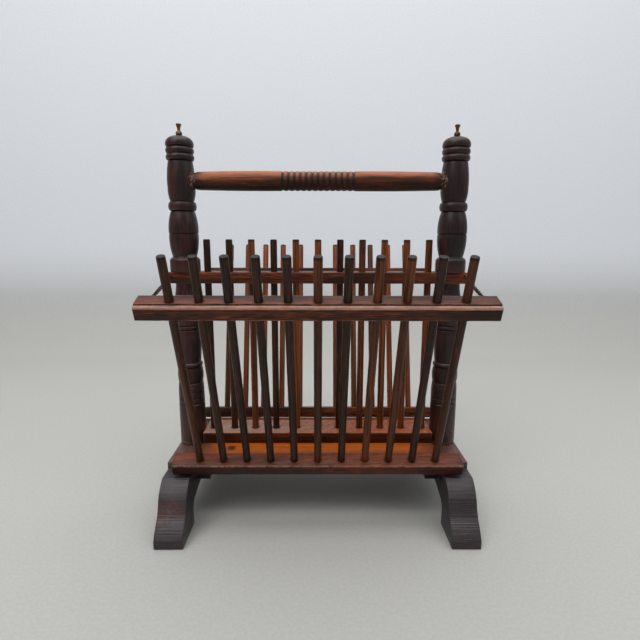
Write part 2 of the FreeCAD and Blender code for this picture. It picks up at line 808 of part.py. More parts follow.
def build():
    fill_sheet()
    foot("left_foot", -1)
    foot("right_foot", 1)
    base_board()
    base_cleats()
    centre_board()
    lower_posts()
    centre_rail()
    upper_posts()
    finials()
    handle()
    centre_dowels()
    line = panel_dowel_line()
    for side in ("front", "back"):
        bottom_bar(side, line)
        top_rail(side, line)
        panel_dowels(side, line)
    hinges()
    screw_eyes()
    chains()
    doc.recompute()


def check():
    for obj in doc.Objects:
        if "Invalid" in obj.State or "Error" in obj.State:
            raise RuntimeError("%s failed: %s" % (obj.Label, obj.State))
    for label, part in parts.items():
        shape = part.Shape
        if shape.isNull() or not shape.isValid() or not shape.Solids:
            raise RuntimeError("%s has no valid solid" % label)


def export():
    os.makedirs("parts", exist_ok=True)
    for label, part in parts.items():
        part.Shape.exportStep("parts/%s.step" % label)


build()
check()
export()
print("wrote %d parts" % len(parts))
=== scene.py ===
"""Looks of a folding spindle magazine rack: worn stained wood, darkened brass and steel chain.

Laid out as an add-on and run as a script.  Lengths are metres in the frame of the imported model,
with X along the handle, Y from front to back and Z up.  Outlines are in millimetres.
"""

import json
import math
from collections import namedtuple

import bpy
from mathutils import Euler, Matrix, Vector


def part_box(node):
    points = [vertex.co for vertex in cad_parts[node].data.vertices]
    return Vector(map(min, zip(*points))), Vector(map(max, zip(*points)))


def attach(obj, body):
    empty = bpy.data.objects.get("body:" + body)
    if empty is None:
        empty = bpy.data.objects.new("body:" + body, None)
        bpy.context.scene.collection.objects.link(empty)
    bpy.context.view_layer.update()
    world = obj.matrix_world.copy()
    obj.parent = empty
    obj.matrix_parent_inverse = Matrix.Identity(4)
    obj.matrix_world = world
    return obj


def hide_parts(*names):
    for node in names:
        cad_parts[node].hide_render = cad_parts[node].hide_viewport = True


bl_info = {
    "name": "Spindle magazine rack",
    "version": (1, 0, 0),
    "blender": (4, 5, 0),
    "location": "View3D > Sidebar > Rack",
    "description": "Builds the worn wood and metal of a folding spindle magazine rack",
    "category": "Object",
}

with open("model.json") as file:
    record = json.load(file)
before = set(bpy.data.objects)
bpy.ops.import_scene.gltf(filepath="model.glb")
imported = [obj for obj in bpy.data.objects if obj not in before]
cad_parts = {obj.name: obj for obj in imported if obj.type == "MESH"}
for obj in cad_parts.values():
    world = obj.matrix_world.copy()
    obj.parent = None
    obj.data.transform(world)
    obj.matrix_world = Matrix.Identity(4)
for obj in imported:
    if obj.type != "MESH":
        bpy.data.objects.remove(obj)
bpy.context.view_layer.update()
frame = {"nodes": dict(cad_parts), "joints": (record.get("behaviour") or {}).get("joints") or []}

MM = 0.001
SIDES = ("front", "back")
DOWELS = range(1, 12)
MIDDLE_DOWEL = 6
PITCH = 25.4 * MM
POST_X = 152.4 * MM
POST_Y = sum(corner.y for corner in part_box("left_lower_post")) / 2
LEAN = {"front": math.radians(21.7), "back": math.radians(16.9)}


# ---------------------------------------------------------------- properties

def linear(red, green, blue):
    """Scene-linear colour of an 8-bit display colour."""
    return tuple(((c / 255 + 0.055) / 1.055) ** 2.4 if c > 10 else c / 255 / 12.92
                 for c in (red, green, blue))


def colour(name, description, rgb):
    return bpy.props.FloatVectorProperty(name=name, description=description, default=linear(*rgb),
                                         subtype="COLOR", min=0, max=1)


def length(name, description, value):
    return bpy.props.FloatProperty(name=name, description=description, default=value,
                                   unit="LENGTH", min=0)


class RackSizes(bpy.types.PropertyGroup):
    worn_edge: length("Worn edge", "Radius that handling has given the sawn edges", 0.9 * MM)
    waviness: length("Waviness", "How far the planed faces wander from flat", 0.35 * MM)
    dowel_tip: length("Dowel tip", "Radius rubbed onto the ends of the dowels", 1.3 * MM)


class RackColours(bpy.types.PropertyGroup):
    stain: colour("Stain", "Near-black stain of the posts", (37, 22, 19))
    stain_red: colour("Stain, rubbed", "Where the posts' stain is rubbed to red", (68, 29, 20))
    foot: colour("Feet", "Blackened stain of the feet", (38, 27, 32))
    foot_red: colour("Feet, rubbed", "Worn patches of the feet", (88, 50, 46))
    grip: colour("Handle", "Handle stain", (80, 38, 21))
    # Lighter handle colour: tone and knocks, and a painted highlight along the top of the handle.
    grip_worn_and_lit_top: colour("Handle, worn", "Where hands have worn the handle", (176, 94, 44))
    # Dark handle colour: painted shade on the underside, and the darker ends.
    grip_dark: colour("Handle, dark", "Underside of the handle and its beads", (30, 17, 12))
    board: colour("Board", "Stain of the base board", (94, 47, 24))
    # Bright band of the base board, placed as a painted reflection.
    board_bright: colour("Board, bright", "Varnished middle of the base board", (184, 92, 20))
    board_dark: colour("Board, dark", "Ends of the base board", (96, 54, 42))
    rail: colour("Rails", "Stain of the rails and bars", (56, 25, 12))
    # Light rail colour: paler streaks, and painted light on the top faces of rails and bars.
    rail_pale_and_lit_tops: colour("Rails, light", "Lighter streaks of the rails", (104, 46, 20))
    # Dark rail colour: darker streaks, and painted shade on the outer faces and ends of the rails
    # and bars.
    rail_dark_and_shade: colour("Rails, dark", "Darker streaks of the rails", (32, 15, 10))
    glow: colour("Glow", "Orange grain showing through the stain", (170, 82, 30))
    # Bare-edge colour: partly worn stain, partly painted highlight along the edges.
    worn: colour("Bare edges", "Edges worn through the stain", (196, 156, 132))
    # Bead colour: painted reflection on the rails' bead and the centre board's top, painted
    # highlight on the bars' front edge, and chips at the handle and posts.
    bead: colour("Bead", "Dulled bead along the top rails", (178, 136, 118))
    # Row colours of one dowel stock, lighter or darker as painted light and shade.
    front_dowel: colour("Front dowels", "Stain of the front dowels", (50, 32, 20))
    centre_dowel: colour("Middle dowels", "Stain of the middle dowels", (68, 35, 18))
    back_dowel: colour("Back dowels", "Stain of the back dowels", (104, 64, 44))
    dowel_glow: colour("Dowels, light", "Lightest of the dowels' grain", (138, 70, 28))
    dust: colour("Dust", "Old glue and dust in the corners", (176, 164, 146))
    # Grime colour: dark knots and seams, and also painted shade in grooves, by the bead and in the
    # gaps round the dowels.
    grime_and_shade: colour("Grime", "Dirt in the joints and grooves", (20, 13, 10))
    chain: colour("Chain", "Bronzed steel of the chains and eyes", (70, 56, 42))
    brass: colour("Brass", "Darkened brass of the finials", (84, 62, 40))
    steel: colour("Hinges", "Dull steel of the hinges", (98, 92, 84))
    floor: colour("Floor", "Pale floor", (178, 177, 172))
    wall: colour("Wall", "Paler wall behind", (228, 231, 236))


def sizes():
    return bpy.context.scene.rack_sizes


def hue(name):
    """Scene-linear colour of a property of RackColours."""
    return tuple(getattr(bpy.context.scene.rack_colours, name))


# ---------------------------------------------------------------- shader helpers

class Number:
    """A value socket; arithmetic on it adds Math nodes."""

    def __init__(self, shader, socket):
        self.shader = shader
        self.socket = socket

    def __add__(self, other):
        return self.shader.math("ADD", self, other)

    def __sub__(self, other):
        return self.shader.math("SUBTRACT", self, other)

    def __rsub__(self, other):
        return self.shader.math("SUBTRACT", other, self)

    def __mul__(self, other):
        return self.shader.math("MULTIPLY", self, other)

    def __pow__(self, other):
        return self.shader.math("POWER", self, other)

    __radd__ = __add__
    __rmul__ = __mul__

    def rise(self, low, high):
        """0 below low, 1 above high and smooth between."""
        node = self.shader.node("MapRange", {"interpolation_type": "SMOOTHSTEP"},
                                {"Value": self, "From Min": low, "From Max": high})
        return Number(self.shader, node.outputs["Result"])

    def clamp(self):
        return self.shader.math("ADD", self, 0.0, clamp=True)


class Shader:
    """A material and the nodes that make it."""

    def __init__(self, name):
        self.material = bpy.data.materials.new(name)
        self.material.use_nodes = True
        self.tree = self.material.node_tree
        self.tree.nodes.clear()

    def node(self, kind, settings=None, inputs=None):
        node = self.tree.nodes.new("ShaderNode" + kind)
        for name, value in (settings or {}).items():
            setattr(node, name, value)
        for key, value in (inputs or {}).items():
            self.feed(node.inputs[key], value)
        return node

    def feed(self, socket, value):
        if isinstance(value, Number):
            value = value.socket
        if isinstance(value, bpy.types.NodeSocket):
            self.tree.links.new(value, socket)
        elif socket.type == "RGBA" and len(value) == 3:
            socket.default_value = (*value, 1)
        else:
            socket.default_value = value

    def math(self, operation, first, second, clamp=False):
        node = self.node("Math", {"operation": operation, "use_clamp": clamp},
                         {0: first, 1: second})
        return Number(self, node.outputs["Value"])

    def coordinates(self, origin=(0, 0, 0), turn=(0, 0, 0), stretch=(1, 1, 1)):
        """Object coordinates measured from origin, turned back by turn and stretched."""
        place = self.node("TexCoord").outputs["Object"]
        node = self.node("Mapping", {"vector_type": "TEXTURE"}, {
            "Vector": place, "Location": origin, "Rotation": turn,
            "Scale": tuple(1 / value for value in stretch)})
        return node.outputs["Vector"]

    def noise(self, vector, scale=1.0, detail=3.0, roughness=0.55, distortion=0.0):
        node = self.node("TexNoise", None, {
            "Vector": vector, "Scale": scale, "Detail": detail, "Roughness": roughness,
            "Distortion": distortion})
        return Number(self, node.outputs["Fac"])

    def axes(self, vector):
        node = self.node("SeparateXYZ", None, {"Vector": vector})
        return [Number(self, node.outputs[name]) for name in "XYZ"]

    def blend(self, amount, first, second):
        """Colour going from first to second as amount goes from 0 to 1."""
        node = self.node("Mix", {"data_type": "RGBA"}, {0: amount, 6: first, 7: second})
        return node.outputs[2]

    def edges(self, radius):
        """1 on convex and concave edges within the radius, 0 on faces."""
        soft = self.node("Bevel", {"samples": 4}, {"Radius": radius}).outputs["Normal"]
        plain = self.node("NewGeometry").outputs["Normal"]
        node = self.node("VectorMath", {"operation": "DOT_PRODUCT"}, {0: soft, 1: plain})
        return (1 - Number(self, node.outputs["Value"])).rise(0.02, 0.22)

    def curvature(self):
        """0.5 on flat faces, less in grooves and more on ridges."""
        return Number(self, self.node("NewGeometry").outputs["Pointiness"])

    def bump(self, height, distance, strength=1.0):
        node = self.node("Bump", None, {"Height": height, "Distance": distance,
                                        "Strength": strength})
        return node.outputs["Normal"]

    def surface(self, **inputs):
        """Principled surface; underscores in the names stand for spaces."""
        named = {name.replace("_", " "): value for name, value in inputs.items()}
        shader = self.node("BsdfPrincipled", None, named)
        self.node("OutputMaterial", None, {"Surface": shader.outputs["BSDF"]})
        return self.material


# Features per metre of the wood's figure, first along the grain and then across it.
TONE_SCALE = (5, 34)
STREAK_SCALE = (11, 420)
PORE_SCALE = (55, 2300)
SAW_MARK_SCALE = (14, 1050, 1050)

# Features per metre of what use has left on the wood and the metal.
PATCH_SCALE = 70
KNOCK_SCALE = 420
DENT_SCALE = 46
DOWEL_PATCH_SCALE = 90
TARNISH_SCALE = 260
GRIT_SCALE = 1600

WOOD_RELIEF = 0.4 * MM
DOWEL_RELIEF = 0.35 * MM
METAL_RELIEF = 0.12 * MM

Figure = namedtuple("Figure", "tone streak pore")


def grain(shader, turn=(0, 0, 0), along="X", seed=0.0):
    """Tone, streak and pore masks of wood whose grain runs along the named axis."""
    def stretched(lengthways, across):
        return tuple(lengthways if axis == along else across for axis in "XYZ")

    start = (seed, seed, 0)
    tone = shader.noise(shader.coordinates(start, turn, stretched(*TONE_SCALE)), detail=4)
    streak = shader.noise(shader.coordinates(start, turn, stretched(*STREAK_SCALE)), detail=5,
                          roughness=0.65, distortion=0.6)
    pore = shader.noise(shader.coordinates(start, turn, stretched(*PORE_SCALE)), detail=2)
    return Figure(tone, streak, pore)


def stained(name, base, light, dark, turn=(0, 0, 0), along="X", rough=0.42, wear=0.8,
            edge=1.4 * MM, seed=0.0, tint=None, worn=None, glow=None, shine=0.22,
            saw_marks=0.0, turned=False):
    """Worn stained wood.

    tint(shader, figure) gives (mask, colour) pairs laid over the stain.  The bare-wood colour on
    the edges is partly worn stain and partly a painted highlight; turned wood takes it on its
    ridges only, and saw_marks is the height of the marks that run along X.
    """
    shader = Shader(name)
    figure = grain(shader, turn=turn, along=along, seed=seed)
    tone, streak, pore = figure
    paint = shader.blend(tone.rise(0.40, 0.64), base, light)
    paint = shader.blend(streak.rise(0.43, 0.59) * 0.88, paint, dark)
    for mask, shade in (tint(shader, figure) if tint else ()):
        paint = shader.blend(mask, paint, shade)
    if glow:
        paint = shader.blend(pore.rise(0.52, 0.68) * tone.rise(0.44, 0.60) * 0.8, paint, glow)
    paint = shader.blend((1 - pore.rise(0.34, 0.44)) * 0.7, paint, dark)
    patch = shader.noise(shader.coordinates(), PATCH_SCALE, 5, 0.7)
    # Painted highlight and wear: the bare-wood colour on the edges stands partly for worn stain
    # and partly for light caught by the edges.
    rubbed = (shader.edges(edge) * patch.rise(0.36, 0.60) * wear).clamp()
    if turned:
        rubbed = rubbed * shader.curvature().rise(0.495, 0.520)
    paint = shader.blend(rubbed, paint, worn or hue("worn"))
    knock = shader.noise(shader.coordinates(), KNOCK_SCALE, 3, 0.6).rise(0.70, 0.76)
    paint = shader.blend(knock * 0.6, paint, light)
    dents = shader.noise(shader.coordinates(), DENT_SCALE, 4)
    height = streak * 0.5 + pore * 0.3 + dents * 0.9 - knock * 0.4
    if saw_marks:
        marks = shader.noise(shader.coordinates(stretch=SAW_MARK_SCALE), detail=3)
        height = height + marks * saw_marks
        paint = shader.blend((1 - marks.rise(0.36, 0.52)) * 0.45, paint, dark)
    roughness = (rough + streak * 0.2 + patch * 0.2 - 0.2 + rubbed * 0.2).clamp()
    return shader.surface(Base_Color=paint, Roughness=roughness, Coat_Weight=0.06,
                          Coat_Roughness=0.3, Specular_IOR_Level=shine,
                          Normal=shader.bump(height, WOOD_RELIEF, 0.9))


def joint_place(side):
    """Point on the fold axis of a panel, where its own frame starts."""
    joint = next(item for item in frame["joints"] if item["name"] == side + "_fold")
    return tuple(joint["pos_m"])


def panel_turn(side):
    """Euler turn of a panel's own frame."""
    turn = Matrix.Rotation(math.pi if side == "front" else 0, 3, "Z") @ Matrix.Rotation(
        -LEAN[side], 3, "X")
    return tuple(turn.to_euler())


def dowel_wood(name, base, light, dark, tip, place=(0, 0, 0), turn=(0, 0, 0), rough=0.38,
               spread=0.5, draw=0.0):
    """Turned dowel stock, each dowel lighter or darker than the next by the spread.

    The end grain at the height of the tip has soaked up more stain.  Another draw gives the
    dowels other tones.
    """
    shader = Shader(name)
    tone, streak, pore = grain(shader, turn=turn, along="Z", seed=0.13)
    across = shader.axes(shader.coordinates(stretch=(1 / PITCH, 1, 1)))[0]
    number = shader.math("ROUND", across, 0.0)
    chance = Number(shader, shader.node("TexWhiteNoise", {"noise_dimensions": "1D"},
                                        {"W": number + draw}).outputs["Value"])
    paint = shader.blend((tone - 0.5 + (chance - 0.5) * spread).rise(-0.22, 0.30), base, light)
    paint = shader.blend(streak.rise(0.44, 0.62) * 0.85, paint, dark)
    paint = shader.blend((1 - chance.rise(0.0, 0.45)) * spread, paint, dark)
    paint = shader.blend(pore.rise(0.56, 0.68) * 0.6, paint, light)
    patch = shader.noise(shader.coordinates(), DOWEL_PATCH_SCALE, 4, 0.7)
    rise = shader.axes(shader.coordinates(place, turn))[2]
    paint = shader.blend(rise.rise(tip - 4.0 * MM, tip - 1.8 * MM) * 0.85, paint, dark)
    # Painted highlight and wear: the bare-wood colour on the rims of the tips is partly worn stain
    # and partly light caught by the rims.
    rubbed = (shader.edges(0.8 * MM) * patch.rise(0.4, 0.6) * 0.4).clamp()
    paint = shader.blend(rubbed, paint, hue("worn"))
    height = streak * 0.6 + pore * 0.3 + patch * 0.6
    return shader.surface(Base_Color=paint, Roughness=(rough + streak * 0.2 + patch * 0.16 - 0.18),
                          Coat_Weight=0.06, Coat_Roughness=0.28, Specular_IOR_Level=0.22,
                          Normal=shader.bump(height, DOWEL_RELIEF, 0.8))


def aged_metal(name, base, light, rough, metallic=0.9):
    """Metal blotched with tarnish over a fine grit."""
    shader = Shader(name)
    tarnish = shader.noise(shader.coordinates(), TARNISH_SCALE, 4, 0.6)
    grit = shader.noise(shader.coordinates(), GRIT_SCALE, 3)
    paint = shader.blend(tarnish.rise(0.4, 0.66), base, light)
    return shader.surface(Base_Color=paint, Metallic=metallic,
                          Roughness=(rough + tarnish * 0.3 - 0.1),
                          Normal=shader.bump(grit + tarnish, METAL_RELIEF, 0.5))


def faded(rgb, factor):
    """Colour made darker, or lighter by a factor over 1."""
    return tuple(min(1.0, value * factor) for value in rgb)


# ---------------------------------------------------------------- materials of this rack

def band(value, middle, half, soft):
    """1 within half of the middle, falling to 0 over soft beyond it."""
    away = value.shader.math("ABSOLUTE", value - middle, 0.0)
    return 1 - away.rise(half, half + soft)


def dowel_gap_shade(shader, x, y, radius=4.2 * MM, soft=1.8 * MM):
    """Painted shade: dark rings round every dowel of a row that stands at y = 0, for the gap round
    each hole.
    """
    number = shader.math("ROUND", x * (1 / PITCH), 0.0)
    inside = 1 - shader.math("ABSOLUTE", number, 0.0).rise(5.2, 5.4)
    from_axis = x - number * PITCH
    away = (from_axis * from_axis + y * y) ** 0.5
    return (1 - away.rise(radius, radius + soft)) * inside


def knot_mask(shader, centre, length=7.0 * MM, squeeze=1.7, plane="XY"):
    """Oval dark knot lying in a plane, with its second axis squeezed by the factor."""
    first, second = ("XYZ".index(axis) for axis in plane)
    place = [0, 0, 0]
    place[first], place[second] = centre
    stretch = [1, 1, 1]
    stretch[second] = squeeze
    axes = shader.axes(shader.coordinates(tuple(place), stretch=tuple(stretch)))
    x, y = axes[first], axes[second]
    away = (x * x + y * y) ** 0.5
    ripple = shader.noise(shader.coordinates(stretch=(150, 150, 150)), detail=2) * 0.4
    return (1 - (away * (1 / length) + ripple).rise(0.55, 1.05)) * 0.92


# Place along X and Y from the posts, length and squeeze of each knot in the base board.
BOARD_KNOTS = ((-0.101, -0.029, 8.0 * MM, 0.8), (0.052, -0.034, 3.5 * MM, 0.9))
SEAM_X = 134.0 * MM
# Place along X and Z of the knot in the face of the centre board.
CENTRE_KNOT = (0.007, 0.0765)


def board_tint(shader, figure):
    """Bright varnish in a band across the middle of the base board, placed as a painted reflection
    where the reflected centre board keeps the sheen off; darker towards its ends and edges.
    """
    x, y, z = shader.axes(shader.coordinates((0, POST_Y, 0)))
    end = shader.math("ABSOLUTE", x, 0.0)
    wander = shader.noise(shader.coordinates(stretch=(20, 60, 60)), detail=3) * 0.022
    reach = shader.math("ABSOLUTE", y + 4.5 * MM, 0.0)
    # Painted reflection: the band in front of and behind the centre board, where its reflection
    # keeps the sheen off, is painted bright orange.
    middle = (1 - (reach + wander).rise(0.030, 0.060)) * (1 - (end + wander).rise(0.112, 0.146))
    upper = z.rise(69.0 * MM, 70.4 * MM)
    lines = figure.streak.rise(0.40, 0.60) * 0.55
    return ((middle * 0.97 * upper, hue("board_bright")),
            (middle * lines * upper, faded(hue("board_bright"), 0.42)),
            ((end + wander).rise(0.130, 0.152) * 0.8, hue("board_dark")),
            (1 - upper, hue("rail")),
            *((knot_mask(shader, (x_place, y_place + POST_Y), length, squeeze), hue("grime_and_shade"))
              for x_place, y_place, length, squeeze in BOARD_KNOTS),
            (band(end, SEAM_X, 0.25 * MM, 0.3 * MM) * 0.8, hue("grime_and_shade")),
            (dust_by_posts(shader) * 0.7, hue("dust")))


def dust_by_posts(shader):
    """Specks of old glue round the feet of the posts."""
    x, y = shader.axes(shader.coordinates((0, POST_Y, 0)))[:2]
    side = shader.math("ABSOLUTE", x, 0.0) - POST_X
    away = (side * side + y * y) ** 0.5
    speck = shader.noise(shader.coordinates(), 900, 3, 0.7).rise(0.56, 0.62)
    return (1 - away.rise(15.5 * MM, 21 * MM)) * speck


def centre_tint(shader, figure):
    """Painted sheen on the left of the top, turning to orange on the right, a dark knot in the
    face and painted shade round the dowels.
    """
    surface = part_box("centre_board")[1].z
    x, y, z = shader.axes(shader.coordinates((0, POST_Y, surface)))
    top = z.rise(-1.2 * MM, -0.4 * MM)
    right = (x + figure.streak * 0.06).rise(-0.05, 0.10)
    speck = shader.noise(shader.coordinates(), 260, 5, 0.75).rise(0.50, 0.62)
    # Painted sheen: the top is lightened with the pale sheen colour on the left, turning to orange
    # on the right where the sheen fades.
    return ((top * (1 - right) * 0.55, hue("bead")),
            (top * right * 0.55, hue("glow")),
            (top * speck * 0.35, hue("worn")),
            (knot_mask(shader, CENTRE_KNOT, 7.0 * MM, 1.3, "XZ"), hue("grime_and_shade")),
            (dowel_gap_shade(shader, x, y) * top, hue("grime_and_shade")))


def centre_rail_tint(shader, figure):
    """Painted shade in the gaps where the dowels pass through."""
    x, y = shader.axes(shader.coordinates((0, POST_Y, 0)))[:2]
    return ((dowel_gap_shade(shader, x, y) * 0.9, hue("grime_and_shade")),)


def handle_tint(shader, figure):
    """Painted highlight along the top, painted shade beneath and in the grooves between the beads,
    and darker at the ends.
    """
    low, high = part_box("handle")
    centre = (low.z + high.z) / 2
    x, y, z = shader.axes(shader.coordinates((0, POST_Y, centre)))
    patch = shader.noise(shader.coordinates(stretch=(30, 120, 120)), detail=4)
    end = shader.math("ABSOLUTE", x, 0.0)
    radius = (y * y + z * z) ** 0.5
    groove = (1 - radius.rise(10.05 * MM, 10.7 * MM)) * (1 - end.rise(41 * MM, 42 * MM))
    chips = shader.noise(shader.coordinates(), 520, 3, 0.7).rise(0.52, 0.60)
    # Painted light and shade: lighter along the top, dark beneath, and painted shade in the
    # grooves between the beads.
    return (((z + patch * 0.009).rise(0.0060, 0.0145) * 0.85, hue("grip_worn_and_lit_top")),
            ((1 - (z + patch * 0.006).rise(-0.0020, 0.0060)) * 0.9, hue("grip_dark")),
            ((end + patch * 0.03).rise(0.138, 0.150) * 0.75, hue("grip_dark")),
            (groove * 0.95, hue("grime_and_shade")),
            (end.rise(0.1345, 0.1355) * chips * 0.9, hue("bead")))


def post_tint(shader, figure):
    """Painted shade in the grooves, ridges lightened partly for wear and partly as painted
    highlight, chips round the handle's sockets and dust low on the posts.
    """
    low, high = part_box("handle")
    x, y, z = shader.axes(shader.coordinates((0, POST_Y, (low.z + high.z) / 2)))
    inner = 1 - shader.math("ABSOLUTE", x, 0.0).rise(0.1425, 0.1440)
    away = (y * y + z * z) ** 0.5
    chips = shader.noise(shader.coordinates(), 420, 3, 0.7).rise(0.48, 0.56)
    ring = (1 - away.rise(10.2 * MM, 12.0 * MM)) * inner
    curve = shader.curvature()
    # Painted shade in the grooves; the ridges are lightened partly for wear and partly as painted
    # highlight.
    return (((1 - curve.rise(0.445, 0.497)) * 0.95, hue("grime_and_shade")),
            (curve.rise(0.508, 0.560) * 0.45, hue("foot_red")),
            (ring * chips * 0.6, hue("bead")),
            (dust_by_posts(shader) * (1 - z.rise(-0.3043, -0.3020)) * 0.8, hue("dust")))


def foot_tint(shader, figure):
    """Dull reddish wear on the scroll and the toes, black elsewhere."""
    patch = shader.noise(shader.coordinates(stretch=(38, 30, 52)), detail=5, roughness=0.6)
    scuff = shader.noise(shader.coordinates(), 300, 4, 0.7)
    top = shader.axes(shader.coordinates())[2].rise(62.5 * MM, 65.5 * MM)
    return ((1 - patch.rise(0.46, 0.60), hue("foot")),
            (patch.rise(0.52, 0.64) * scuff.rise(0.36, 0.60) * 0.55, hue("foot_red")),
            (top, hue("board_dark")),
            (top * figure.streak.rise(0.40, 0.60) * 0.6, hue("rail_dark_and_shade")),
            (dust_by_posts(shader) * 0.6, hue("dust")))


def panel_wood(side):
    """Rail stain in a panel's own frame, with painted sheen on the bead, painted highlight on the
    bar's front edge, painted light on the tops, and painted shade round the dowels, by the bead,
    on the outer faces and at the ends.
    """
    turn = panel_turn(side)
    outer = (BAR["gap"] + BAR["depth"]) * MM
    top = RAIL["top"] * MM
    inset, drop = RAIL["bead"] * MM, RAIL["groove"] * MM

    def tint(shader, figure):
        x, y, z = shader.axes(shader.coordinates(joint_place(side), turn))
        row = y - (BAR["gap"] + BAR["depth"] / 2) * MM
        depth = outer - y
        above = z.rise(top - inset - 0.3 * MM, top - inset + 0.1 * MM)
        # Painted reflection: the pale stripe along the bead stands for the sky's sheen on its
        # rounded top, broken by nicks.
        bead_sheen_stripe = band(depth, inset * 0.42, inset * 0.34, 0.4 * MM) * above
        nick = shader.noise(shader.coordinates(), 210, 5, 0.7)
        # Painted shade: a dark line on the outer face just under the bead.
        under_bead_shade = band(z, top - inset - 0.5 * MM, 0.45 * MM, 0.4 * MM)
        # Painted shade: the outer face of the rails and bars is darkened, as it faces a little
        # downward.
        face = 1 - depth.rise(0.4 * MM, 1.0 * MM)
        # Painted shade: the rails and bars darken towards their ends.
        end = shader.math("ABSOLUTE", x, 0.0).rise(0.146, 0.157)
        bar_top = (BAR["lift"] + BAR["thickness"]) * MM
        # Painted highlight along the front top edge of the bar, broken by nicks.
        arris_highlight = band(z, bar_top - 0.9 * MM, 0.5 * MM, 0.6 * MM) * (
            1 - depth.rise(0.9 * MM, 1.9 * MM)) * nick.rise(0.30, 0.60)
        # Painted light: the top faces of the rail and the bar are lightened.
        flat = band(z, top, 0.5 * MM, 0.5 * MM) + band(z, 14.8 * MM, 0.5 * MM, 0.5 * MM)
        return ((end * 0.5, hue("rail_dark_and_shade")),
                (face * 0.5, hue("rail_dark_and_shade")),
                (flat * (1 - face) * figure.tone.rise(0.42, 0.60) * 0.6,
                 hue("rail_pale_and_lit_tops")),
                # Painted shade in the gap round each dowel.
                (dowel_gap_shade(shader, x, row) * 0.95, hue("grime_and_shade")),
                (bead_sheen_stripe * (nick * 1.2 + 0.25).clamp(), hue("bead")),
                # Painted shade in the groove behind the bead.
                (band(depth, inset + drop * 0.5, drop * 0.5, 0.35 * MM) * above * 0.9,
                 hue("grime_and_shade")),
                (under_bead_shade * face * 0.85, hue("grime_and_shade")),
                (arris_highlight * 0.5, hue("bead")))

    return stained("rail_wood_" + side, hue("rail"), hue("rail_pale_and_lit_tops"),
                   hue("rail_dark_and_shade"), turn, wear=0.8, tint=tint, glow=hue("glow"),
                   seed={"front": 0.0, "back": 0.31}[side])


def materials():
    """Every finish of the rack by its slot name, and the rails' by slot and place."""
    rail = (hue("rail"), hue("rail_pale_and_lit_tops"), hue("rail_dark_and_shade"))
    glow = hue("glow")
    # Painted light and shade: the rows are copies of one dowel stock in different brightness, the
    # back row and its light colour painted lighter as it is lit, the front row darkest.
    dowels = {side: hue(side + "_dowel") for side in ("front", "centre", "back")}
    light = hue("dowel_glow")
    made = {
        "dark_wood": stained("dark_wood", hue("stain"), hue("stain_red"),
                             faded(hue("stain"), 0.35), along="Z", rough=0.38, wear=0.45,
                             tint=post_tint, shine=0.34, turned=True),
        "foot_wood": stained("foot_wood", hue("foot"), hue("foot_red"),
                             faded(hue("foot"), 0.4), along="Y", rough=0.40, wear=0.45,
                             tint=foot_tint, worn=hue("foot_red"), shine=0.6,
                             saw_marks=1.6),
        "handle_wood": stained("handle_wood", hue("grip"), hue("grip_worn_and_lit_top"),
                               faded(hue("grip"), 0.3), rough=0.38, wear=0.5, tint=handle_tint,
                               glow=glow, turned=True),
        "board_wood": stained("board_wood", hue("board"), faded(hue("board"), 1.7),
                              hue("board_dark"), rough=0.38, tint=board_tint, glow=glow),
        "centre_board_wood": stained("centre_board_wood", *rail, wear=1.0, rough=0.46,
                                     edge=1.8 * MM, tint=centre_tint, glow=glow, seed=0.17),
        "rail_wood": stained("rail_wood", *rail, wear=0.75, tint=centre_rail_tint, glow=glow,
                             seed=0.52),
        "front_rail_wood": panel_wood("front"),
        "back_rail_wood": panel_wood("back"),
        "cleat_wood": stained("cleat_wood", faded(hue("foot"), 0.8), hue("foot"),
                              faded(hue("foot"), 0.4), along="Y", wear=0.2),
        "front_dowel_wood": dowel_wood("front_dowel_wood", dowels["front"],
                                       faded(light, 0.62), faded(dowels["front"], 0.22),
                                       (DOWEL_FOOT + DOWEL_LENGTH["front"]) * MM,
                                       joint_place("front"), panel_turn("front"), spread=0.35),
        "centre_dowel_wood": dowel_wood("centre_dowel_wood", dowels["centre"],
                                        faded(light, 0.85),
                                        faded(dowels["centre"], 0.2),
                                        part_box("centre_dowel_01")[1].z, spread=0.9, draw=3.0),
        "back_dowel_wood": dowel_wood("back_dowel_wood", dowels["back"], faded(light, 1.1),
                                      faded(dowels["back"], 0.3),
                                      (DOWEL_FOOT + DOWEL_LENGTH["back"]) * MM,
                                      joint_place("back"), panel_turn("back"), spread=0.6,
                                      draw=9.0),
        "finial_brass": aged_metal("finial_brass", hue("brass"), faded(hue("brass"), 2.4),
                                   0.34),
        "hinge_steel": aged_metal("hinge_steel", hue("steel"), faded(hue("steel"), 0.4),
                                  0.42),
        "chain_steel": aged_metal("chain_steel", hue("chain"), faded(hue("chain"), 0.35),
                                  0.40),
        "eye_steel": aged_metal("eye_steel", hue("chain"), faded(hue("chain"), 0.4), 0.42),
    }
    return made


# ---------------------------------------------------------------- modelling helpers

def pick_none():
    bpy.ops.object.select_all(action="DESELECT")


def edit(piece):
    pick_none()
    bpy.context.view_layer.objects.active = piece
    piece.select_set(True)
    bpy.ops.object.mode_set(mode="EDIT")


def leave_edit():
    bpy.ops.object.mode_set(mode="OBJECT")


def start_block(name, low, high):
    """Rough-sawn block from corner to corner."""
    pick_none()
    centre = [(a + b) / 2 for a, b in zip(low, high)]
    bpy.ops.mesh.primitive_cube_add(size=1, location=centre)
    piece = bpy.context.object
    piece.name = piece.data.name = name
    piece.scale = [b - a for a, b in zip(low, high)]
    bpy.ops.object.transform_apply(location=True, rotation=True, scale=True)
    return piece


